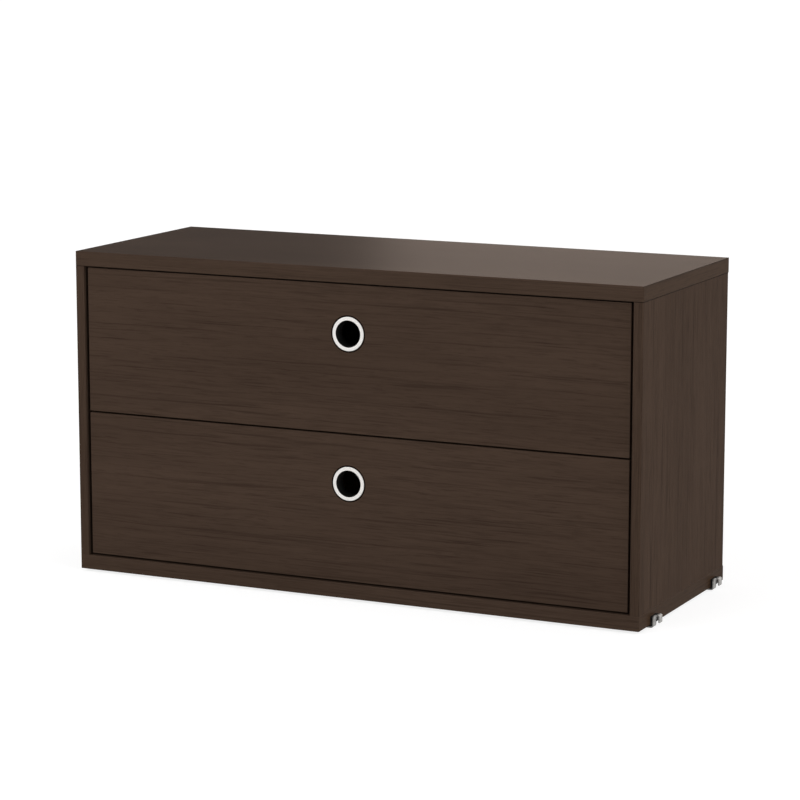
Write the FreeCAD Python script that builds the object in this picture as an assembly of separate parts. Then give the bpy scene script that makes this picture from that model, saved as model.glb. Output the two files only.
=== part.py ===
# Two-drawer cabinet that hangs by four hooks on the rungs of a shelf ladder.
# Millimetres. X runs across the front, +Y to the back, +Z up.
# The origin is under the middle of the cabinet, at the level of the hook feet.
import FreeCAD
import Part
import math
import os

Vector = FreeCAD.Vector
ALONG_X = Vector(1, 0, 0)
ALONG_Y = Vector(0, 1, 0)
UP = Vector(0, 0, 1)

# Shell
cabinet_width = 780.0
cabinet_depth = 300.0
cabinet_height = 418.0
board_thickness = 19.0
side_thickness = 12.0
side_setback = 2.0
edge_round = 0.5

# Back panel, held in a groove all round
back_thickness = 6.0
back_inset = 12.0
groove_depth = 5.0
panel_play = 0.2

# Dowels; each end wall is the wood left beyond a dowel's hole
dowel_diameter = 6.0
dowel_play = 0.1
dowel_end_play = 0.5
dowel_chamfer = 0.8
shell_dowel_margin = 28.0
shell_dowel_in_side = 18.0
board_end_wall = 6.5
box_dowel_margin = 25.0
box_dowel_in_end = 20.0
front_end_wall = 5.5
box_end_wall = 3.5

# Drawer fronts, inset in the shell
front_recess = 3.0
front_thickness = 16.0
side_gap = 4.0
top_gap = 1.8
middle_gap = 2.3
bottom_gap = 2.5

# Finger pull: ring let into the front, with a sleeve through it
pull_drop = 61.8
pull_bore = 33.8
ring_width = 4.55
ring_thickness = 1.2
ring_stand = 0.6
ring_round = 0.5
sleeve_wall = 1.6
sleeve_flange_width = 3.0
sleeve_flange_thickness = 1.5
pull_play = 0.2

# Drawer boxes
box_wall = 12.0
box_lift = 10.0
box_top_drop = 27.0
box_back_gap = 8.0
box_top_round = 2.0
bottom_thickness = 6.0
bottom_lift = 10.0

# Ball-bearing runners
runner_width = 12.7
runner_height = 45.5
runner_lift = 50.0
runner_front_gap = 2.0
runner_back_gap = 3.0
rail_sheet = 1.2
rail_bend = 1.0
rail_lip_gap = 0.9
ball_diameter = 3.2
ball_play = 0.15
balls_in_row = 7
cage_sheet = 0.6
cage_bend = 0.3
cage_play = 0.3
cage_margin = 2.0
cage_hole_play = 0.1
cage_end_margin = 8.0
bumper_length = 2.7
bumper_gap = 0.3
bumper_height = 16.0

# Hooks for the ladder rungs, and the pads behind them
hook_sheet = 1.5
hook_bend = 1.8
slot_width = 2.5
tab_width = 10.0
tab_height = 14.3
tab_front_round = 4.0
tab_back_round = 1.2
arch_width = 10.2
arch_height = 14.3
arm_height = 11.2
lip_height = 4.1
lip_round = 1.0
hook_foot_length = 38.0
pad_wall = 2.6
pad_leaf = 1.8
pad_round = 1.2
pad_notch_height = 5.0
pad_clearance = 0.2
front_hook_inset = 38.3
back_hook_inset = 47.4

# Screws with a cross recess; each end wall is the wood left beyond a screw's tip
screw_diameter = 3.5
screw_head_diameter = 6.4
screw_play = 0.1
screw_point = 2.0
recess_length = 3.4
recess_width = 0.8
recess_depth = 0.8
rail_screw_end_wall = 3.2
hook_screw_end_wall = 6.3
hook_screw_spacing = 18.0
cabinet_rail_screw_margin = 16.0
drawer_rail_screw_margin = 30.0

# How near an edge lies to a face that it is picked by
touching = 0.01

# Faces and levels that follow from the sizes above
foot_drop = pad_leaf + hook_sheet
front_y = -cabinet_depth / 2
back_y = cabinet_depth / 2
outer_x = cabinet_width / 2
inner_x = outer_x - side_thickness
floor_z = foot_drop + board_thickness
ceiling_z = foot_drop + cabinet_height - board_thickness
back_panel_y = back_y - back_inset - back_thickness

front_face_y = front_y + front_recess
front_back_y = front_face_y + front_thickness
front_half_width = inner_x - side_gap
front_height = (ceiling_z - floor_z - top_gap - middle_gap - bottom_gap) / 2
front_bottoms = {
    "lower": floor_z + bottom_gap,
    "upper": floor_z + bottom_gap + front_height + middle_gap,
}

bore_radius = pull_bore / 2
ring_radius = bore_radius + ring_width
sleeve_radius = bore_radius + sleeve_wall
flange_radius = sleeve_radius + sleeve_flange_width
ring_face_y = front_face_y - ring_stand
ring_back_y = ring_face_y + ring_thickness

box_height = front_height - box_lift - box_top_drop
box_half_width = inner_x - runner_width
box_inner_x = box_half_width - box_wall
box_end_y = back_panel_y - box_back_gap
box_back_y = box_end_y - box_wall

shell_dowel_in_board = board_thickness - board_end_wall - dowel_end_play
box_dowel_in_front = front_thickness - front_end_wall - dowel_end_play
box_dowel_in_side = box_wall - box_end_wall - dowel_end_play

rail_y = front_back_y + runner_front_gap
rail_end_y = box_end_y - runner_back_gap
rail_length = rail_end_y - rail_y
cabinet_rail_end_y = rail_end_y + bumper_gap + bumper_length
cage_y = rail_y + rail_length / 4 + cage_margin
cage_length = rail_length / 2 - 2 * cage_margin

ball_radius = ball_diameter / 2
cabinet_rail_half = runner_height / 2
outer_ball_z = cabinet_rail_half - rail_sheet - ball_play - ball_radius
middle_rail_half = outer_ball_z - ball_radius - ball_play
inner_ball_z = middle_rail_half - rail_sheet - ball_play - ball_radius
drawer_rail_half = inner_ball_z - ball_radius - ball_play
outer_cage_u = rail_sheet + cage_play
middle_rail_u = outer_cage_u + cage_sheet + cage_play
inner_cage_u = middle_rail_u + rail_sheet + cage_play
drawer_rail_tip_u = inner_cage_u + cage_sheet + cage_play
drawer_web_u = runner_width - rail_sheet
middle_rail_tip_u = drawer_web_u - rail_lip_gap
cabinet_rail_tip_u = drawer_web_u - rail_lip_gap / 2
outer_cage_tip_u = cabinet_rail_tip_u - 2 * rail_lip_gap
inner_cage_tip_u = drawer_web_u - 2 * rail_lip_gap
outer_ball_u = (middle_rail_u + middle_rail_tip_u) / 2
inner_ball_u = (drawer_rail_tip_u + drawer_web_u) / 2

tab_x = outer_x + pad_wall
lip_x = tab_x + hook_sheet + slot_width
foot_x = tab_x + hook_sheet - hook_foot_length
hook_width = tab_width + arch_width
hook_starts = {"front": front_y + front_hook_inset, "back": back_y - back_hook_inset}

screw_radius = screw_diameter / 2
screw_head_radius = screw_head_diameter / 2
screw_head_height = screw_head_radius - screw_radius
cabinet_rail_screw_length = rail_sheet + side_thickness - rail_screw_end_wall
drawer_rail_screw_length = rail_sheet + box_wall - rail_screw_end_wall
hook_screw_length = foot_drop + board_thickness - hook_screw_end_wall


def block(x0, x1, y0, y1, z0, z1):
    return Part.makeBox(x1 - x0, y1 - y0, z1 - z0, Vector(x0, y0, z0))


def pin(start, direction, length, radius):
    return Part.makeCylinder(radius, length, start, direction)


def mirrored(shape):
    """The same piece on the other side of the cabinet."""
    return shape.mirror(Vector(0, 0, 0), ALONG_X)


def both_sides(shapes):
    return shapes + [mirrored(shape) for shape in shapes]


def section_face(corners, y):
    """Upright face across Y; each corner is its x, its z and its rounding radius."""
    points = [Vector(x, y, z) for x, z, radius in corners]
    bends = []
    for index, (x, z, radius) in enumerate(corners):
        corner = points[index]
        if radius <= 0:
            bends.append((corner, None, corner))
            continue
        to_last = (points[index - 1] - corner).normalize()
        to_next = (points[(index + 1) % len(points)] - corner).normalize()
        half_angle = to_last.getAngle(to_next) / 2
        reach = radius / math.tan(half_angle)
        inward = (to_last + to_next).normalize()
        middle = corner + inward * (radius / math.sin(half_angle) - radius)
        bends.append((corner + to_last * reach, middle, corner + to_next * reach))
    edges = []
    for index, (start, middle, end) in enumerate(bends):
        if middle is not None:
            edges.append(Part.Arc(start, middle, end).toShape())
        following = bends[(index + 1) % len(bends)][0]
        if end.distanceToPoint(following) > touching:
            edges.append(Part.makeLine(end, following))
    return Part.Face(Part.Wire(edges))


def bar(corners, y0, y1):
    """Solid with the same section all along Y."""
    return section_face(corners, y0).extrude(Vector(0, y1 - y0, 0))


def at(value, level):
    return abs(value - level) < touching


def along_x(box):
    return at(box.YLength, 0) and at(box.ZLength, 0)


def along_y(box):
    return at(box.XLength, 0) and at(box.ZLength, 0)


def along_z(box):
    return at(box.XLength, 0) and at(box.YLength, 0)


def round_edges(shape, radius, chosen):
    """Fillet the edges whose bounding box passes the test."""
    return shape.makeFillet(radius, [edge for edge in shape.Edges if chosen(edge.BoundBox)])


def dowel(joint, direction, depth_behind, depth_ahead):
    """Chamfered dowel through a joint plane, reaching each way along direction."""
    rod = pin(joint - direction * depth_behind, direction, depth_behind + depth_ahead, dowel_diameter / 2)
    rims = [edge for edge in rod.Edges if at(edge.Length, math.pi * dowel_diameter)]
    return rod.makeChamfer(dowel_chamfer, rims)


def dowel_hole(joint, direction, depth_behind, depth_ahead):
    start = joint - direction * (depth_behind + dowel_end_play)
    length = depth_behind + depth_ahead + 2 * dowel_end_play
    return pin(start, direction, length, dowel_diameter / 2 + dowel_play)


def cross_recess(top, direction):
    """Two crossed slots sunk into a screw head."""
    slot = block(-recess_length / 2, recess_length / 2, -recess_width / 2, recess_width / 2, 0, recess_depth)
    turned = block(-recess_width / 2, recess_width / 2, -recess_length / 2, recess_length / 2, 0, recess_depth)
    cross = slot.fuse(turned)
    cross.Placement = FreeCAD.Placement(top, FreeCAD.Rotation(UP, direction))
    return cross


def screw(top, direction, length):
    """Countersunk screw with its head flush at top, driven along direction."""
    head = Part.makeCone(screw_head_radius, screw_radius, screw_head_height, top, direction)
    shank = pin(top, direction, length - screw_point, screw_radius)
    point_start = top + direction * (length - screw_point)
    point = Part.makeCone(screw_radius, recess_width / 2, screw_point, point_start, direction)
    return head.fuse([shank, point]).removeSplitter().cut(cross_recess(top, direction))


def screw_hole(top, direction, length):
    """Countersunk hole that clears such a screw."""
    head_radius = screw_head_radius + screw_play
    radius = screw_radius + screw_play
    head = Part.makeCone(head_radius, radius, screw_head_height, top, direction)
    return head.fuse(pin(top, direction, length + screw_play, radius))


def save(name, shapes):
    """Write one node: a single solid, or a group of separate ones."""
    shape = shapes[0] if len(shapes) == 1 else Part.makeCompound(shapes)
    shape.exportStep("parts/" + name + ".step")


def save_pair(name_start, name_end, right_shape):
    """Write a piece modelled on the right, and its mirror image on the left."""
    save(name_start + "right_" + name_end, [right_shape])
    save(name_start + "left_" + name_end, [mirrored(right_shape)])


# Shell

def shell_joints():
    """Where dowels join the side panels to the boards, on the right."""
    first_y = front_y + shell_dowel_margin
    last_y = back_panel_y - shell_dowel_margin
    joints = []
    for y in (first_y, (first_y + last_y) / 2, last_y):
        x = outer_x - side_thickness / 2
        joints.append((Vector(x, y, floor_z), UP, shell_dowel_in_board, shell_dowel_in_side))
        joints.append((Vector(x, y, ceiling_z), -UP, shell_dowel_in_board, shell_dowel_in_side))
    return joints


def shell_dowel_holes():
    return both_sides([dowel_hole(*joint) for joint in shell_joints()])


def back_panel_block(reach, play):
    return block(-inner_x - reach, inner_x + reach,
                 back_panel_y - play, back_panel_y + back_thickness + play,
                 floor_z - reach, ceiling_z + reach)


def back_groove():
    return back_panel_block(groove_depth, panel_play)


def back_panel():
    return back_panel_block(groove_depth - panel_play, 0)


def board(bottom_z):
    """Top or bottom board, eased on every edge."""
    slab = block(-outer_x, outer_x, front_y, back_y, bottom_z, bottom_z + board_thickness)
    slab = slab.makeFillet(edge_round, slab.Edges)
    return slab.cut([back_groove()] + shell_dowel_holes())


def side_panel():
    slab = block(inner_x, outer_x, front_y, back_y - side_setback, floor_z, ceiling_z)
    slab = round_edges(slab, edge_round, lambda box: along_z(box) and at(box.XMax, outer_x))
    holes = [back_groove()] + shell_dowel_holes()
    for front_z in front_bottoms.values():
        for place in cabinet_rail_screw_places(front_z):
            holes.append(screw_hole(place, ALONG_X, cabinet_rail_screw_length))
    return slab.cut(holes)


# Hooks; each starts at y0 with a tab, and its arch over the rung lies behind the tab

def hook_tab(y0):
    """Strip of the foot, bent up into a tab beside the cabinet."""
    outer = tab_x + hook_sheet
    corners = [
        (foot_x, 0, 0),
        (outer, 0, hook_sheet + hook_bend),
        (outer, tab_height, 0),
        (tab_x, tab_height, 0),
        (tab_x, hook_sheet, hook_bend),
        (foot_x, hook_sheet, 0),
    ]
    tab = bar(corners, y0, y0 + tab_width)
    tab = round_edges(tab, tab_front_round,
                      lambda box: along_x(box) and at(box.ZMax, tab_height) and at(box.YMin, y0))
    return round_edges(tab, tab_back_round,
                       lambda box: along_x(box) and at(box.ZMax, tab_height) and at(box.YMin, y0 + tab_width))


def hook_arch(y0):
    """Arm behind the tab, which arches over the rung and ends in a lip."""
    outer = lip_x + hook_sheet
    outer_round = (outer - tab_x) / 2
    slot_round = slot_width / 2
    slot_top = arch_height - hook_sheet
    corners = [
        (tab_x, arm_height, 0),
        (tab_x, arch_height, outer_round),
        (outer, arch_height, outer_round),
        (outer, lip_height, 0),
        (lip_x, lip_height, 0),
        (lip_x, slot_top, slot_round),
        (tab_x + hook_sheet, slot_top, slot_round),
        (tab_x + hook_sheet, arm_height, 0),
    ]
    arch = bar(corners, y0 + tab_width, y0 + hook_width)
    return round_edges(arch, lip_round, lambda box: along_x(box) and at(box.ZMin, lip_height))


def hook_screw_places(y0):
    """Heads of the two screws in a hook's foot."""
    middle_x = (foot_x + outer_x) / 2
    y = y0 + hook_width / 2
    return [Vector(middle_x + way * hook_screw_spacing / 2, y, 0) for way in (-1, 1)]


def hook_screw_holes(y0):
    return [screw_hole(place, UP, hook_screw_length) for place in hook_screw_places(y0)]


def hook(y0):
    foot = block(foot_x, outer_x, y0, y0 + hook_width, 0, hook_sheet)
    shape = hook_tab(y0).fuse([hook_arch(y0), foot]).removeSplitter()
    return shape.cut(hook_screw_holes(y0))


def hook_pad(y0):
    """Dark pad that holds the hook off the wood: a leaf below the board and a wall beside it.

    The wall is as wide as the hook; below the arch it's cut away.
    """
    front = y0 + pad_clearance
    back = y0 + hook_width - pad_clearance
    top = arch_height - pad_clearance
    lower_round = min(hook_bend + pad_clearance, pad_wall - pad_clearance)
    corners = [
        (outer_x, hook_sheet, 0),
        (tab_x, hook_sheet, lower_round),
        (tab_x, top, 0),
        (outer_x, top, 0),
    ]
    wall = round_edges(bar(corners, front, back), pad_round,
                       lambda box: along_x(box) and at(box.ZMax, top))
    notch = block(outer_x, tab_x, y0 + tab_width - pad_clearance, back, 0, pad_notch_height)
    wall = wall.cut(notch)
    leaf = block(foot_x, outer_x, y0, y0 + hook_width, hook_sheet, foot_drop)
    return leaf.fuse(wall).removeSplitter().cut(hook_screw_holes(y0))


# Drawers; each piece is placed from the lower edge of its drawer's front

def box_joints(front_z):
    """Dowels of the drawer box on the right: side to front, and side to back."""
    first_z = front_z + box_lift + box_dowel_margin
    last_z = front_z + box_lift + box_height - box_dowel_margin
    side_x = box_half_width - box_wall / 2
    back_y = box_end_y - box_wall / 2
    joints = []
    for z in (first_z, (first_z + last_z) / 2, last_z):
        joints.append((Vector(side_x, front_back_y, z), ALONG_Y, box_dowel_in_front, box_dowel_in_end))
        joints.append((Vector(box_inner_x, back_y, z), -ALONG_X, box_dowel_in_side, box_dowel_in_end))
    return joints


def box_dowel_holes(front_z):
    return both_sides([dowel_hole(*joint) for joint in box_joints(front_z)])


def drawer_bottom_block(front_z, reach, play):
    bottom_z = front_z + box_lift + bottom_lift
    return block(-box_inner_x - reach, box_inner_x + reach,
                 front_back_y - reach, box_back_y + reach,
                 bottom_z - play, bottom_z + bottom_thickness + play)


def bottom_groove(front_z):
    return drawer_bottom_block(front_z, groove_depth, panel_play)


def drawer_bottom(front_z):
    return drawer_bottom_block(front_z, groove_depth - panel_play, 0)


def drawer_front(front_z):
    slab = block(-front_half_width, front_half_width, front_face_y, front_back_y,
                 front_z, front_z + front_height)
    slab = round_edges(slab, edge_round, lambda box: at(box.YMax, front_face_y))
    centre = Vector(0, front_face_y, front_z + front_height - pull_drop)
    ring_seat = pin(centre, ALONG_Y, ring_back_y - front_face_y, ring_radius + pull_play)
    sleeve_hole = pin(centre, ALONG_Y, front_thickness, sleeve_radius + pull_play)
    return slab.cut([ring_seat, sleeve_hole, bottom_groove(front_z)] + box_dowel_holes(front_z))


def drawer_side(front_z):
    bottom_z = front_z + box_lift
    top_z = bottom_z + box_height
    slab = block(box_inner_x, box_half_width, front_back_y, box_end_y, bottom_z, top_z)
    slab = round_edges(slab, box_top_round, lambda box: along_y(box) and at(box.ZMin, top_z))
    screw_holes = [screw_hole(place, -ALONG_X, drawer_rail_screw_length)
                   for place in drawer_rail_screw_places(front_z)]
    return slab.cut([bottom_groove(front_z)] + box_dowel_holes(front_z) + screw_holes)


def drawer_back(front_z):
    bottom_z = front_z + box_lift
    top_z = bottom_z + box_height
    slab = block(-box_inner_x, box_inner_x, box_back_y, box_end_y, bottom_z, top_z)
    slab = round_edges(slab, box_top_round, lambda box: along_x(box) and at(box.ZMin, top_z))
    return slab.cut([bottom_groove(front_z)] + box_dowel_holes(front_z))


def pull_ring(front_z):
    centre = Vector(0, ring_face_y, front_z + front_height - pull_drop)
    disc = pin(centre, ALONG_Y, ring_thickness, ring_radius)
    ring = disc.cut(pin(centre, ALONG_Y, ring_thickness, bore_radius))
    return round_edges(ring, ring_round, lambda box: at(box.YMax, ring_face_y))


def pull_sleeve(front_z):
    centre_z = front_z + front_height - pull_drop
    start = Vector(0, ring_back_y, centre_z)
    tube_length = front_back_y - ring_back_y
    tube = pin(start, ALONG_Y, tube_length, sleeve_radius)
    flange = pin(Vector(0, front_back_y, centre_z), ALONG_Y, sleeve_flange_thickness, flange_radius)
    bore = pin(start, ALONG_Y, tube_length + sleeve_flange_thickness, bore_radius)
    return tube.fuse(flange).removeSplitter().cut(bore)


# Ball-bearing runners, modelled on the right; u is the distance from the side panel towards the drawer

def runner_z(front_z):
    return front_z + box_lift + runner_lift


def channel(web_u, tip_u, half_height, sheet, bend, centre_z, y0, y1):
    """C-shaped bar: an upright web with its outside at web_u, and two flanges that reach tip_u."""
    way = 1 if tip_u > web_u else -1
    web_x = inner_x - web_u
    tip_x = inner_x - tip_u
    inner_web_x = web_x - way * sheet
    inner_half = half_height - sheet
    corners = [
        (web_x, centre_z - half_height, bend + sheet),
        (tip_x, centre_z - half_height, 0),
        (tip_x, centre_z - inner_half, 0),
        (inner_web_x, centre_z - inner_half, bend),
        (inner_web_x, centre_z + inner_half, bend),
        (tip_x, centre_z + inner_half, 0),
        (tip_x, centre_z + half_height, 0),
        (web_x, centre_z + half_height, bend + sheet),
    ]
    return bar(corners, y0, y1)


def cabinet_rail_screw_places(front_z):
    first_y = rail_y + cabinet_rail_screw_margin
    last_y = rail_end_y - cabinet_rail_screw_margin
    middle_y = (first_y + last_y) / 2
    return [Vector(inner_x - rail_sheet, y, runner_z(front_z)) for y in (first_y, middle_y, last_y)]


def drawer_rail_screw_places(front_z):
    first_y = rail_y + drawer_rail_screw_margin
    last_y = rail_end_y - drawer_rail_screw_margin
    return [Vector(box_half_width + rail_sheet, y, runner_z(front_z)) for y in (first_y, last_y)]


def cabinet_rail(front_z):
    rail = channel(0, cabinet_rail_tip_u, cabinet_rail_half, rail_sheet, rail_bend,
                   runner_z(front_z), rail_y, cabinet_rail_end_y)
    return rail.cut([screw_hole(place, ALONG_X, cabinet_rail_screw_length)
                     for place in cabinet_rail_screw_places(front_z)])


def middle_rail(front_z):
    return channel(middle_rail_u, middle_rail_tip_u, middle_rail_half, rail_sheet, rail_bend,
                   runner_z(front_z), rail_y, rail_end_y)


def drawer_rail(front_z):
    rail = channel(runner_width, drawer_rail_tip_u, drawer_rail_half, rail_sheet, rail_bend,
                   runner_z(front_z), rail_y, rail_end_y)
    return rail.cut([screw_hole(place, -ALONG_X, drawer_rail_screw_length)
                     for place in drawer_rail_screw_places(front_z)])


def ball_places(ball_u, ball_z, front_z):
    """Centres of the balls in the lower and upper rows of one cage."""
    pitch = (cage_length - 2 * cage_end_margin) / (balls_in_row - 1)
    first_y = cage_y + cage_end_margin
    return [Vector(inner_x - ball_u, first_y + index * pitch, runner_z(front_z) + row * ball_z)
            for row in (-1, 1) for index in range(balls_in_row)]


def cage(web_u, tip_u, ball_u, ball_z, front_z):
    """Thin channel between two rails, with a hole for each ball."""
    frame = channel(web_u, tip_u, ball_z + cage_sheet / 2, cage_sheet, cage_bend,
                    runner_z(front_z), cage_y, cage_y + cage_length)
    holes = [pin(place - UP * ball_radius, UP, ball_diameter, ball_radius + cage_hole_play)
             for place in ball_places(ball_u, ball_z, front_z)]
    return frame.cut(holes)


def balls(ball_u, ball_z, front_z):
    return both_sides([Part.makeSphere(ball_radius, place) for place in ball_places(ball_u, ball_z, front_z)])


def rail_bumper(front_z):
    """Rubber stop across the back end of a cabinet rail."""
    start = rail_end_y + bumper_gap
    return block(inner_x - middle_rail_tip_u, inner_x - rail_sheet, start, start + bumper_length,
                 runner_z(front_z) - bumper_height / 2, runner_z(front_z) + bumper_height / 2)


# The nodes

def save_shell():
    screw_holes = hook_screw_holes(hook_starts["front"]) + hook_screw_holes(hook_starts["back"])
    save("top_panel", [board(ceiling_z)])
    save("bottom_panel", [board(foot_drop).cut(both_sides(screw_holes))])
    save("back_panel", [back_panel()])
    save_pair("", "side_panel", side_panel())
    save("shell_dowels", both_sides([dowel(*joint) for joint in shell_joints()]))


def save_hooks():
    pads = []
    screws = []
    for end, y0 in hook_starts.items():
        save_pair(end + "_", "hook", hook(y0))
        pads.append(hook_pad(y0))
        screws += [screw(place, UP, hook_screw_length) for place in hook_screw_places(y0)]
    save("hook_pads", both_sides(pads))
    save("hook_screws", both_sides(screws))


def save_drawer(level, front_z):
    save(level + "_drawer_front", [drawer_front(front_z)])
    save_pair(level + "_drawer_", "side", drawer_side(front_z))
    save(level + "_drawer_back", [drawer_back(front_z)])
    save(level + "_drawer_bottom", [drawer_bottom(front_z)])
    save(level + "_drawer_dowels", both_sides([dowel(*joint) for joint in box_joints(front_z)]))
    save(level + "_pull_ring", [pull_ring(front_z)])
    save(level + "_pull_sleeve", [pull_sleeve(front_z)])


def save_runners(level, front_z):
    start = level + "_"
    save_pair(start, "cabinet_rail", cabinet_rail(front_z))
    save_pair(start, "middle_rail", middle_rail(front_z))
    save_pair(start, "drawer_rail", drawer_rail(front_z))
    save_pair(start, "outer_cage", cage(outer_cage_u, outer_cage_tip_u, outer_ball_u, outer_ball_z, front_z))
    save_pair(start, "inner_cage", cage(inner_cage_u, inner_cage_tip_u, inner_ball_u, inner_ball_z, front_z))
    save(start + "outer_balls", balls(outer_ball_u, outer_ball_z, front_z))
    save(start + "inner_balls", balls(inner_ball_u, inner_ball_z, front_z))
    cabinet_screws = [screw(place, ALONG_X, cabinet_rail_screw_length)
                      for place in cabinet_rail_screw_places(front_z)]
    drawer_screws = [screw(place, -ALONG_X, drawer_rail_screw_length)
                     for place in drawer_rail_screw_places(front_z)]
    save(start + "cabinet_rail_screws", both_sides(cabinet_screws))
    save(start + "drawer_rail_screws", both_sides(drawer_screws))


os.makedirs("parts", exist_ok=True)
save_shell()
save_hooks()
save("rail_bumpers", both_sides([rail_bumper(front_z) for front_z in front_bottoms.values()]))
for level, front_z in front_bottoms.items():
    save_drawer(level, front_z)
    save_runners(level, front_z)
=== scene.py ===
# Drawer cabinet: the finishes, the floor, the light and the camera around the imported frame.
# Metres. X runs across the front, +Y to the back, +Z up; the hook feet stand on Z = 0.
import math
from collections import namedtuple

import bpy
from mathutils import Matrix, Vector


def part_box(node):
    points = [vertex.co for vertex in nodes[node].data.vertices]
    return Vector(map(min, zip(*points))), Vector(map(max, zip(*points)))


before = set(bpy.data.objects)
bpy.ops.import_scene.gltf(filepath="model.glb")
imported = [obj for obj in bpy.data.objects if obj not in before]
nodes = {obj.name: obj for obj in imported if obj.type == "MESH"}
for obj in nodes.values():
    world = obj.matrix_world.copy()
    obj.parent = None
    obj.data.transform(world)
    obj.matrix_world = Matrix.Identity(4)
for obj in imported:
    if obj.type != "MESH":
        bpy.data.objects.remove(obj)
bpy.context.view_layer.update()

LEVELS = ("lower", "upper")

# A surface faces along an axis where that part of its normal is more than this
FACING = 0.7


def grey(level):
    return (level, level, level, 1)


# Shader building

def plug(tree, value, socket):
    """Links a socket to another node's socket, or sets it to a number or a colour."""
    if isinstance(value, bpy.types.NodeSocket):
        tree.links.new(value, socket)
    else:
        socket.default_value = value


def add_node(tree, kind, **inputs):
    """A shader node; each input is a number, a colour or another node's socket."""
    made = tree.nodes.new("ShaderNode" + kind)
    for name, value in inputs.items():
        plug(tree, value, made.inputs[name.replace("_", " ")])
    return made


def calc(tree, operation, *values):
    made = tree.nodes.new("ShaderNodeMath")
    made.operation = operation
    for socket, value in zip(made.inputs, values):
        plug(tree, value, socket)
    return made.outputs[0]


def calc_vector(tree, operation, *values):
    """A vector, or the number that a dot product or a length gives."""
    made = tree.nodes.new("ShaderNodeVectorMath")
    made.operation = operation
    for socket, value in zip(made.inputs, values):
        plug(tree, value, socket)
    return made.outputs["Value" if operation in ("DOT_PRODUCT", "LENGTH") else "Vector"]


def noise(tree, vector, stretch, detail=2.0, rough=0.5):
    """Noise from 0 to 1; stretch gives the number of features per metre along each axis."""
    stretched = calc_vector(tree, "MULTIPLY", vector, stretch)
    made = add_node(tree, "TexNoise", Vector=stretched, Scale=1.0, Detail=detail, Roughness=rough)
    return made.outputs["Fac"]


def ramp(tree, value, low, high, at_low=0.0, at_high=1.0):
    """Smooth change from at_low to at_high as value goes from low to high."""
    made = tree.nodes.new("ShaderNodeMapRange")
    made.interpolation_type = "SMOOTHSTEP"
    for name, number in (("From Min", low), ("From Max", high), ("To Min", at_low), ("To Max", at_high)):
        made.inputs[name].default_value = number
    plug(tree, value, made.inputs["Value"])
    return made.outputs["Result"]


def blend_colours(tree, factor, first, second, mode="MIX"):
    made = tree.nodes.new("ShaderNodeMix")
    made.data_type = "RGBA"
    made.blend_type = mode
    plug(tree, factor, made.inputs["Factor"])
    plug(tree, first, made.inputs[6])
    plug(tree, second, made.inputs[7])
    return made.outputs[2]


def blend_vectors(tree, factor, first, second):
    made = tree.nodes.new("ShaderNodeMix")
    made.data_type = "VECTOR"
    plug(tree, factor, made.inputs["Factor"])
    plug(tree, first, made.inputs[4])
    plug(tree, second, made.inputs[5])
    return made.outputs[1]


def object_coordinates(tree):
    return tree.nodes.new("ShaderNodeTexCoord").outputs["Object"]


def surface_normal(tree):
    return tree.nodes.new("ShaderNodeTexCoord").outputs["Normal"]


def part_along(tree, vector, axis):
    """The number that a vector has along an axis, such as "Z"."""
    return add_node(tree, "SeparateXYZ", Vector=vector).outputs[axis]


def faces(tree, axis):
    """1 where the surface faces along an axis, either way, and 0 elsewhere."""
    facing = calc(tree, "ABSOLUTE", part_along(tree, surface_normal(tree), axis))
    return calc(tree, "GREATER_THAN", facing, FACING)


def new_finish(name):
    """A material with its node tree and its main shader."""
    finish = bpy.data.materials.new(name)
    finish.use_nodes = True
    tree = finish.node_tree
    return finish, tree, tree.nodes["Principled BSDF"]


def add_bump(tree, shader, height, depth):
    """Relief of the given depth in metres."""
    bump = add_node(tree, "Bump", Height=height, Strength=1.0, Distance=depth)
    tree.links.new(bump.outputs["Normal"], shader.inputs["Normal"])


# Grain

# How far the grain sways sideways over the whole board, and over short stretches
SLOW_SWAY = 0.015
QUICK_SWAY = 0.0024


def reorder(tree, coordinates, order):
    """The same coordinates with the grain's axis first, such as "ZXY"."""
    split = add_node(tree, "SeparateXYZ", Vector=coordinates)
    joined = tree.nodes.new("ShaderNodeCombineXYZ")
    for socket, axis in zip(joined.inputs, order):
        tree.links.new(split.outputs[axis], socket)
    return joined.outputs[0]


def grain_coordinates(tree, face_order, end_order):
    """Coordinates along the grain, then across it twice; end faces have their own direction."""
    coordinates = object_coordinates(tree)
    return blend_vectors(tree, faces(tree, face_order[0]), reorder(tree, coordinates, face_order),
                         reorder(tree, coordinates, end_order))


def sway(tree, grain, stretch, reach):
    """Distance sideways, up to half of reach each way."""
    push = noise(tree, grain, stretch, detail=1.0)
    return calc(tree, "MULTIPLY", calc(tree, "SUBTRACT", push, 0.5), reach)


def wander(tree, grain):
    """Bends the grain sideways, slowly over the board and a little over short stretches."""
    shift = calc(tree, "ADD", sway(tree, grain, (1.3, 3.0, 3.0), SLOW_SWAY),
                 sway(tree, grain, (13.0, 40.0, 40.0), QUICK_SWAY))
    offset = add_node(tree, "CombineXYZ", X=0.0, Y=shift, Z=shift)
    return calc_vector(tree, "ADD", grain, offset.outputs[0])


# Stained veneer

STAIN = (0.0575, 0.0372, 0.0265, 1)
STAIN_DEEP = (0.0500, 0.0322, 0.0228, 1)
GRAIN_BROWN = (0.0215, 0.0132, 0.0093, 1)
SEAM_AND_SHADE_DARK = (0.0060, 0.0040, 0.0030, 1)
# Painted shade on the board ends, darkening their colour to offset the bright reflection they catch
END_SHADE_TINT = (0.82, 0.755, 0.655, 1)

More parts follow.
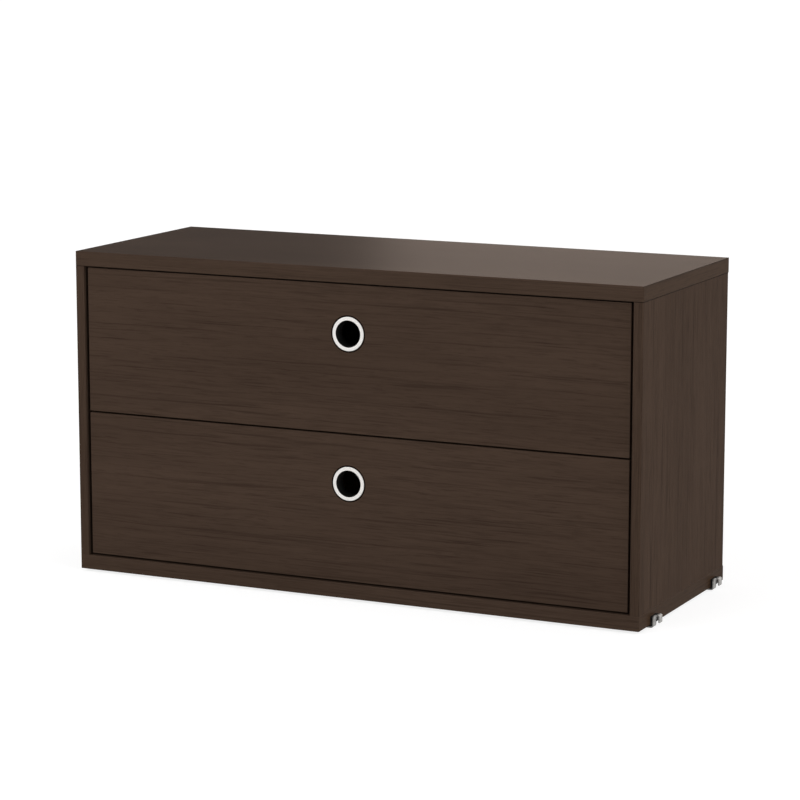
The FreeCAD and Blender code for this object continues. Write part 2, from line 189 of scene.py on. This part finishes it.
# Marks in the veneer: how many per metre along and across the grain, the noise where they start
# and where they are full, the noise's own roughness, and how far they darken the stain
Mark = namedtuple("Mark", "along across start full rough strength")
BANDS = Mark(along=5, across=170, start=0.62, full=0.36, rough=0.5, strength=0.11)
LONG_LINES = Mark(along=3, across=260, start=0.36, full=0.29, rough=0.4, strength=0.40)
LINES = Mark(along=9, across=320, start=0.38, full=0.28, rough=0.4, strength=0.32)
FIBRES = Mark(along=17, across=460, start=0.54, full=0.34, rough=0.5, strength=0.25)
DASHES = Mark(along=38, across=560, start=0.42, full=0.31, rough=0.5, strength=0.26)
PORES = Mark(along=70, across=1300, start=0.42, full=0.28, rough=0.5, strength=0.20)
VENEER_MARKS = (BANDS, LONG_LINES, LINES, FIBRES, DASHES, PORES)

# The marks change twice as fast into the board as across its face
INTO_BOARD = (1.0, 1.0, 2.0)

# The fibres' share of the marks where the grain is calm
CALM_FIBRES = 0.35

# Lacquer: how rough it is, how much rougher over the fibres, and how deep the marks are
LACQUER_ROUGHNESS = 0.25
FIBRE_ROUGHNESS = 0.07
VENEER_RELIEF = 0.00003
FIBRE_RELIEF_SHARE = 0.4
PORE_RELIEF_SHARE = 0.6

# How strongly the lacquer mirrors on the top and bottom boards, the fronts, and the sides and back
BOARD_GLOSS = 0.006
FRONT_GLOSS = 0.004
SIDE_GLOSS = 0.002

# Dark hairlines, with painted shade in the top board's joints and a painted shadow line around each pull
# ring: half their width, how dark they are, and how soft their edge is
SOFT_EDGE = 1.6
TOP_JOINT_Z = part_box("top_panel")[0].z
TOP_JOINT_SHADE_HALF_WIDTH = 0.0005
TOP_JOINT_SHADE_STRENGTH = 0.5
BANDING_JOINT_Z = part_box("top_panel")[1].z - 0.0006
BANDING_JOINT_SHADE_HALF_WIDTH = 0.0004
BANDING_JOINT_SHADE_STRENGTH = 0.5
# Painted shadow line around each pull ring, in its seat
RING_SHADOW_GAP = 0.0008
RING_SHADOW_HALF_WIDTH = 0.0009
RING_SHADOW_STRENGTH = 0.95


def near(tree, value, place, half_width, strength):
    """The given strength where value lies within half_width of place, with a soft edge."""
    distance = calc(tree, "ABSOLUTE", calc(tree, "SUBTRACT", value, place))
    return ramp(tree, distance, half_width, half_width * SOFT_EDGE, strength, 0.0)


def top_joint_and_shade(tree):
    """Dark hairline where the top board meets the sides: a joint line with painted shade under the board's
    overhang.
    """
    height = part_along(tree, object_coordinates(tree), "Z")
    return near(tree, height, TOP_JOINT_Z, TOP_JOINT_SHADE_HALF_WIDTH, TOP_JOINT_SHADE_STRENGTH)


def banding_joint_and_shade(tree):
    """Dark hairline where the top board's end banding meets its top face: a joint line with painted shade
    along the rounded edge.
    """
    height = part_along(tree, object_coordinates(tree), "Z")
    line = near(tree, height, BANDING_JOINT_Z, BANDING_JOINT_SHADE_HALF_WIDTH, BANDING_JOINT_SHADE_STRENGTH)
    return calc(tree, "MULTIPLY", faces(tree, "X"), line)


def board_joints_and_shade(tree):
    return calc(tree, "MAXIMUM", top_joint_and_shade(tree), banding_joint_and_shade(tree))


def ring_circle(ring):
    """The centre of a pull ring, at no depth, and its outer radius."""
    low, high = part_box(ring)
    return ((low.x + high.x) / 2, 0, (low.z + high.z) / 2), (high.x - low.x) / 2


def from_ring_axis(tree, centre):
    """Vector from the axis of a pull ring, square to the axis."""
    place = calc_vector(tree, "MULTIPLY", object_coordinates(tree), (1, 0, 1))
    return calc_vector(tree, "SUBTRACT", place, centre)


def ring_seat_shadows(tree):
    """Painted shadow line around each pull ring, where it sits in its front."""
    lines = []
    for level in LEVELS:
        centre, radius = ring_circle(level + "_pull_ring")
        distance = calc_vector(tree, "LENGTH", from_ring_axis(tree, centre))
        lines.append(near(tree, distance, radius + RING_SHADOW_GAP, RING_SHADOW_HALF_WIDTH, RING_SHADOW_STRENGTH))
    return calc(tree, "MAXIMUM", *lines)


def show_mark(tree, grain, mark):
    """0 between the marks of one kind, 1 where they show in full."""
    spread = (mark.along, mark.across, mark.across)
    return ramp(tree, noise(tree, grain, spread, detail=1.0, rough=mark.rough), mark.start, mark.full)


def veneer_marks(tree, grain):
    """How far each kind of mark shows; the fibres show less where the grain is calm."""
    shown = {mark: show_mark(tree, grain, mark) for mark in VENEER_MARKS}
    liveliness = noise(tree, grain, (2.2, 22.0, 22.0), detail=1.0)
    busy = ramp(tree, liveliness, 0.30, 0.62, CALM_FIBRES, 1.0)
    shown[FIBRES] = calc(tree, "MULTIPLY", shown[FIBRES], busy)
    return shown


def stained_veneer(name, face_order, end_order, gloss, relief=1.0, contrast=1.0, seam_and_shade=None, shaded_ends=False):
    """Open-pored veneer, stained dark brown and lacquered satin; the orders end with the depth axis."""
    finish, tree, shader = new_finish(name)
    place = grain_coordinates(tree, face_order, end_order)
    grain = wander(tree, calc_vector(tree, "MULTIPLY", place, INTO_BOARD))
    tone = noise(tree, grain, (1.4, 9.0, 9.0))
    colour = blend_colours(tree, ramp(tree, tone, 0.3, 0.7), STAIN_DEEP, STAIN)
    shown = veneer_marks(tree, grain)
    for mark in VENEER_MARKS:
        darkening = calc(tree, "MULTIPLY", shown[mark], mark.strength * contrast)
        colour = blend_colours(tree, darkening, colour, GRAIN_BROWN)
    # Painted shade: the board ends are darkened to offset the bright reflection they catch
    if shaded_ends:
        colour = blend_colours(tree, faces(tree, "X"), colour, END_SHADE_TINT, mode="MULTIPLY")
    # Dark joint lines with painted shade on the boards, and painted shadow lines around the pull rings
    if seam_and_shade:
        colour = blend_colours(tree, seam_and_shade(tree), colour, SEAM_AND_SHADE_DARK)
    tree.links.new(colour, shader.inputs["Base Color"])
    roughest = LACQUER_ROUGHNESS + FIBRE_ROUGHNESS * relief
    roughness = ramp(tree, shown[FIBRES], 0.0, 1.0, LACQUER_ROUGHNESS, roughest)
    tree.links.new(roughness, shader.inputs["Roughness"])
    shader.inputs["Specular IOR Level"].default_value = gloss
    depth = calc(tree, "ADD", calc(tree, "MULTIPLY", shown[FIBRES], FIBRE_RELIEF_SHARE),
                 calc(tree, "MULTIPLY", shown[PORES], PORE_RELIEF_SHARE))
    add_bump(tree, shader, depth, -VENEER_RELIEF * relief)
    return finish


# Drawer box wood and dowels

BIRCH_PALE = (0.68, 0.52, 0.35, 1)
BIRCH_WARM = (0.58, 0.41, 0.25, 1)
BIRCH_FIBRE_STRENGTH = 0.35
BIRCH_RELIEF = 0.00002
BEECH_PALE = (0.55, 0.37, 0.22, 1)
BEECH_DEEP = (0.42, 0.26, 0.14, 1)

# Plywood: one layer's thickness, the share of it before the glue line, and how far the glue shows
PLY_GLUE = (0.30, 0.18, 0.10, 1)
PLY_LAYER = 0.00133
PLY_GLUE_START = 0.86
PLY_GLUE_STRENGTH = 0.6


def glue_lines(tree, layer_axis, layer_start):
    """Lines between the plywood's layers, on the edges that cut through them."""
    depth = calc(tree, "ABSOLUTE", part_along(tree, object_coordinates(tree), layer_axis))
    layer = calc(tree, "FRACT", calc(tree, "DIVIDE", calc(tree, "SUBTRACT", depth, layer_start), PLY_LAYER))
    glue = calc(tree, "GREATER_THAN", layer, PLY_GLUE_START)
    on_edge = calc(tree, "SUBTRACT", 1.0, faces(tree, layer_axis))
    return calc(tree, "MULTIPLY", calc(tree, "MULTIPLY", glue, on_edge), PLY_GLUE_STRENGTH)


def birch(name, face_order, end_order, layer_axis, layer_start):
    """Birch plywood with its layers showing on the edges."""
    finish, tree, shader = new_finish(name)
    grain = wander(tree, grain_coordinates(tree, face_order, end_order))
    tone = noise(tree, grain, (2.0, 30.0, 30.0))
    fibre = noise(tree, grain, (18.0, 900.0, 900.0))
    colour = blend_colours(tree, ramp(tree, tone, 0.35, 0.68), BIRCH_PALE, BIRCH_WARM)
    warmth = ramp(tree, fibre, 0.55, 0.35, 0.0, BIRCH_FIBRE_STRENGTH)
    colour = blend_colours(tree, warmth, colour, BIRCH_WARM)
    colour = blend_colours(tree, glue_lines(tree, layer_axis, layer_start), colour, PLY_GLUE)
    tree.links.new(colour, shader.inputs["Base Color"])
    shader.inputs["Roughness"].default_value = 0.45
    shader.inputs["Specular IOR Level"].default_value = 0.4
    add_bump(tree, shader, fibre, BIRCH_RELIEF)
    return finish


def beech_dowel():
    finish, tree, shader = new_finish("beech dowel")
    fleck = noise(tree, object_coordinates(tree), (900.0, 900.0, 900.0), detail=1.0)
    colour = blend_colours(tree, ramp(tree, fleck, 0.4, 0.65), BEECH_PALE, BEECH_DEEP)
    tree.links.new(colour, shader.inputs["Base Color"])
    shader.inputs["Roughness"].default_value = 0.7
    return finish


# Pulls, pads and bumpers

ENAMEL_SHADE = (0.715, 0.695, 0.665, 1)
ENAMEL_WHITE = (0.745, 0.725, 0.700, 1)
BORE_SHADE_BLACK = (0.010, 0.010, 0.0095, 1)
PLASTIC_BLACK = (0.0080, 0.0078, 0.0072, 1)
PLASTIC_CHARCOAL = (0.013, 0.0127, 0.0120, 1)
ORANGE_PEEL_RELIEF = 0.00001
MOULD_RELIEF = 0.00001

# How squarely the ring's surface faces its axis, where the painted shade in the bore begins and where it is
# full
BORE_SHADE_EDGE = -0.65
BORE_SHADE_FULL = -0.85


def white_enamel(ring):
    """White enamel with a faint orange-peel surface; the ring's bore is coloured black as painted shade
    inside the hole.
    """
    finish, tree, shader = new_finish("white enamel on " + ring.replace("_", " "))
    coordinates = object_coordinates(tree)
    cloud = noise(tree, coordinates, (90.0, 90.0, 90.0))
    colour = blend_colours(tree, cloud, ENAMEL_SHADE, ENAMEL_WHITE)
    centre, _ = ring_circle(ring)
    outward = calc_vector(tree, "NORMALIZE", from_ring_axis(tree, centre))
    facing_out = calc_vector(tree, "DOT_PRODUCT", outward, surface_normal(tree))
    # Painted shade: the bore, which faces the ring's axis, is coloured black
    bore_shade = ramp(tree, facing_out, BORE_SHADE_FULL, BORE_SHADE_EDGE, 1.0, 0.0)
    colour = blend_colours(tree, bore_shade, colour, BORE_SHADE_BLACK)
    tree.links.new(colour, shader.inputs["Base Color"])
    shader.inputs["Roughness"].default_value = 0.32
    peel = noise(tree, coordinates, (700.0, 700.0, 700.0), detail=1.0)
    add_bump(tree, shader, peel, ORANGE_PEEL_RELIEF)
    return finish


def black_plastic(name, roughness, gloss=0.5):
    """Moulded black plastic with a fine spark texture."""
    finish, tree, shader = new_finish(name)
    coordinates = object_coordinates(tree)
    cloud = noise(tree, coordinates, (120.0, 120.0, 120.0))
    colour = blend_colours(tree, cloud, PLASTIC_BLACK, PLASTIC_CHARCOAL)
    tree.links.new(colour, shader.inputs["Base Color"])
    shader.inputs["Roughness"].default_value = roughness
    shader.inputs["Specular IOR Level"].default_value = gloss
    spark = noise(tree, coordinates, (2600.0, 2600.0, 2600.0), detail=1.0)
    add_bump(tree, shader, spark, MOULD_RELIEF)
    return finish


# Metals

METAL_RELIEF = 0.000004

# How much smoother and rougher a metal's fine marks make it
SMOOTHER = 0.05
ROUGHER = 0.07


def metal(name, dark, light, roughness, brushed, metallic=1.0):
    """Bare or plated metal; brushed gives the number of fine marks per metre along each axis."""
    finish, tree, shader = new_finish(name)
    coordinates = object_coordinates(tree)
    marks = noise(tree, coordinates, brushed)
    cloud = noise(tree, coordinates, (60.0, 60.0, 60.0))
    tree.links.new(blend_colours(tree, cloud, dark, light), shader.inputs["Base Color"])
    worn = ramp(tree, marks, 0.3, 0.7, roughness - SMOOTHER, roughness + ROUGHER)
    tree.links.new(worn, shader.inputs["Roughness"])
    shader.inputs["Metallic"].default_value = metallic
    add_bump(tree, shader, marks, METAL_RELIEF)
    return finish


def satin_nickel():
    """The hooks' dull plating, which mirrors little."""
    return metal("satin nickel", dark=(0.29, 0.285, 0.275, 1), light=(0.35, 0.345, 0.335, 1),
                 roughness=0.58, brushed=(300.0, 2200.0, 2200.0), metallic=0.4)


def bright_zinc():
    return metal("bright zinc", dark=(0.52, 0.54, 0.57, 1), light=(0.64, 0.66, 0.68, 1),
                 roughness=0.30, brushed=(900.0, 60.0, 900.0))


def cage_steel():
    return metal("cage steel", dark=(0.48, 0.49, 0.50, 1), light=(0.58, 0.58, 0.58, 1),
                 roughness=0.36, brushed=(900.0, 60.0, 900.0))


def bearing_steel():
    return metal("bearing steel", dark=(0.66, 0.66, 0.67, 1), light=(0.72, 0.72, 0.72, 1),
                 roughness=0.12, brushed=(500.0, 500.0, 500.0))


def screw_zinc():
    return metal("screw zinc", dark=(0.55, 0.56, 0.58, 1), light=(0.66, 0.67, 0.68, 1),
                 roughness=0.30, brushed=(1500.0, 1500.0, 1500.0))


# The finishes on the pieces

def dress(finish, *names):
    """Puts one finish on every material slot of the named nodes."""
    for name in names:
        mesh = nodes[name].data
        mesh.materials.clear()
        mesh.materials.append(finish)


def dress_shell():
    boards = stained_veneer("veneer along the boards", "XYZ", "YZX", BOARD_GLOSS, relief=0.25,
                            seam_and_shade=board_joints_and_shade, shaded_ends=True)
    sides = stained_veneer("veneer up the sides", "ZYX", "YXZ", SIDE_GLOSS, contrast=1.1, seam_and_shade=top_joint_and_shade)
    back = stained_veneer("veneer across the back", "XZY", "ZXY", SIDE_GLOSS)
    dress(boards, "top_panel", "bottom_panel")
    dress(sides, "left_side_panel", "right_side_panel")
    dress(back, "back_panel")


def dress_hooks():
    dress(satin_nickel(), "front_left_hook", "front_right_hook", "back_left_hook", "back_right_hook")
    dress(black_plastic("black pad", roughness=0.6, gloss=0.1), "hook_pads")


def dress_drawers():
    fronts = stained_veneer("veneer across the fronts", "XZY", "ZYX", FRONT_GLOSS, seam_and_shade=ring_seat_shadows)
    sleeve = black_plastic("black sleeve", roughness=0.42)
    side_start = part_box("lower_drawer_right_side")[0].x
    back_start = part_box("lower_drawer_back")[0].y
    sides = birch("birch sides", "YZX", "XZY", "X", side_start)
    backs = birch("birch backs", "XZY", "YZX", "Y", back_start)
    bottoms = birch("birch bottoms", "XYZ", "YXZ", "Z", 0.0)
    for level in LEVELS:
        dress(fronts, level + "_drawer_front")
        dress(white_enamel(level + "_pull_ring"), level + "_pull_ring")
        dress(sleeve, level + "_pull_sleeve")
        dress(sides, level + "_drawer_left_side", level + "_drawer_right_side")
        dress(backs, level + "_drawer_back")
        dress(bottoms, level + "_drawer_bottom")


def dress_runners():
    zinc = bright_zinc()
    cage = cage_steel()
    ball = bearing_steel()
    for level in LEVELS:
        dress(ball, level + "_outer_balls", level + "_inner_balls")
        for side in ("left", "right"):
            start = level + "_" + side + "_"
            dress(zinc, start + "cabinet_rail", start + "middle_rail", start + "drawer_rail")
            dress(cage, start + "outer_cage", start + "inner_cage")
    dress(black_plastic("black rubber", roughness=0.8), "rail_bumpers")


def dress_fasteners():
    screw = screw_zinc()
    beech = beech_dowel()
    dress(screw, "hook_screws")
    dress(beech, "shell_dowels")
    for level in LEVELS:
        dress(screw, level + "_cabinet_rail_screws", level + "_drawer_rail_screws")
        dress(beech, level + "_drawer_dowels")


# Floor

FLOOR_RADIUS = 60.0
FLOOR_DROP = 0.0002
FLOOR_PALE = grey(0.72)

# What looks at the floor sees a darker one that glows, which the lamps bring up to white
FLOOR_SEEN = grey(0.32)
FLOOR_GLOW = 0.79


def add_floor():
    """Pale floor, seen as white apart from the cabinet's shadow."""
    bpy.ops.mesh.primitive_circle_add(vertices=96, radius=FLOOR_RADIUS, fill_type="NGON",
                                      location=(0, 0, -FLOOR_DROP))
    floor = bpy.context.object
    floor.name = "floor"
    finish, tree, shader = new_finish("pale floor")
    shader.inputs["Roughness"].default_value = 0.9
    shader.inputs["Specular IOR Level"].default_value = 0.0
    path = tree.nodes.new("ShaderNodeLightPath")
    mirrored = calc(tree, "MAXIMUM", path.outputs["Is Glossy Ray"], path.outputs["Is Transmission Ray"])
    seen = calc(tree, "MAXIMUM", path.outputs["Is Camera Ray"], mirrored)
    tree.links.new(blend_colours(tree, seen, FLOOR_PALE, FLOOR_SEEN), shader.inputs["Base Color"])
    shader.inputs["Emission Color"].default_value = grey(1)
    tree.links.new(calc(tree, "MULTIPLY", seen, FLOOR_GLOW), shader.inputs["Emission Strength"])
    floor.data.materials.append(finish)


# Surroundings

# The walls behind: their turn, half the width of the edge from dark to pale, how far behind they
# show in full, and the slopes between which they fade out upward
WALL_TURN = math.radians(25.95)
WALL_EDGE = 0.003
WALL_REACH = 0.35
WALL_FADE_START = 0.35
WALL_FADE_END = 0.75

WORLD_FRONT = grey(0.42)
WORLD_DARK = grey(0.16)
WORLD_BRIGHT = (1.05, 0.89, 0.79, 1)


def add_world():
    """Soft surroundings: a pale wall behind the cabinet's right, a dark one behind its left."""
    world = bpy.data.worlds.new("studio")
    bpy.context.scene.world = world
    world.use_nodes = True
    tree = world.node_tree
    direction = tree.nodes.new("ShaderNodeTexCoord").outputs["Generated"]
    right = calc_vector(tree, "DOT_PRODUCT", direction, (math.cos(WALL_TURN), math.sin(WALL_TURN), 0))
    behind = calc_vector(tree, "DOT_PRODUCT", direction, (-math.sin(WALL_TURN), math.cos(WALL_TURN), 0))
    up = part_along(tree, direction, "Z")
    low = ramp(tree, up, WALL_FADE_START, WALL_FADE_END, 1.0, 0.0)
    is_behind = calc(tree, "MULTIPLY", ramp(tree, behind, 0.0, WALL_REACH), low)
    walls = blend_colours(tree, ramp(tree, right, -WALL_EDGE, WALL_EDGE), WORLD_DARK, WORLD_BRIGHT)
    colour = blend_colours(tree, is_behind, WORLD_FRONT, walls)
    tree.links.new(colour, tree.nodes["Background"].inputs["Color"])


# Lamps

FAR_LAMP_SPREAD = math.radians(40)


def aim(thing, direction):
    """Turns a lamp or the camera so that its back faces along direction."""
    thing.rotation_euler = Vector(direction).to_track_quat("Z", "Y").to_euler()


def add_to_scene(name, data):
    thing = bpy.data.objects.new(name, data)
    bpy.context.scene.collection.objects.link(thing)
    return thing


def add_far_lamp(name, direction, strength):
    """Very large lamp far away, as even over the floor as over the cabinet."""
    lamp = bpy.data.lights.new(name, "SUN")
    lamp.energy = strength
    lamp.angle = FAR_LAMP_SPREAD
    aim(add_to_scene(name, lamp), direction)


def add_softbox(name, place, target, width, radiance):
    """Square lamp of even brightness, aimed at target and hidden from the camera."""
    lamp = bpy.data.lights.new(name, "AREA")
    lamp.shape = "SQUARE"
    lamp.size = width
    lamp.energy = radiance * math.pi * width ** 2
    box = add_to_scene(name, lamp)
    box.location = place
    aim(box, Vector(place) - Vector(target))
    box.visible_camera = False


def add_lights():
    add_far_lamp("front light", direction=(-0.45, -0.80, 0.38), strength=0.95)
    add_far_lamp("side light", direction=(0.93, -0.15, 0.30), strength=1.53)
    add_far_lamp("back light", direction=(0.50, 0.85, 0.30), strength=0.90)
    add_softbox("front softbox", place=(-1.3, -1.8, 1.3), target=(-0.2, 0.0, 0.3), width=1.0, radiance=5.4)
    add_softbox("top softbox", place=(0.2, 0.6, 3.0), target=(0.0, 0.0, 0.4), width=2.4, radiance=0.4)


# Camera

# Where the photograph was taken from, and with which lens
VIEW_AZIMUTH = math.radians(25.598)
VIEW_ELEVATION = math.radians(10.0006)
CAMERA_PLACE = (1.63749, -3.4165, 0.90062)
FOCAL_LENGTH_MM = 134.658
SENSOR_WIDTH_MM = 36.0
NEAREST_SEEN = 0.05
FARTHEST_SEEN = 200.0


def add_camera():
    lens = bpy.data.cameras.new("camera")
    lens.sensor_width = SENSOR_WIDTH_MM
    lens.lens = FOCAL_LENGTH_MM
    lens.clip_start = NEAREST_SEEN
    lens.clip_end = FARTHEST_SEEN
    camera = add_to_scene("camera", lens)
    camera.location = CAMERA_PLACE
    level = math.cos(VIEW_ELEVATION)
    aim(camera, (math.sin(VIEW_AZIMUTH) * level, -math.cos(VIEW_AZIMUTH) * level, math.sin(VIEW_ELEVATION)))
    bpy.context.scene.camera = camera


dress_shell()
dress_hooks()
dress_drawers()
dress_runners()
dress_fasteners()
add_floor()
add_world()
add_lights()
add_camera()
bpy.context.scene.view_settings.view_transform = "Standard"
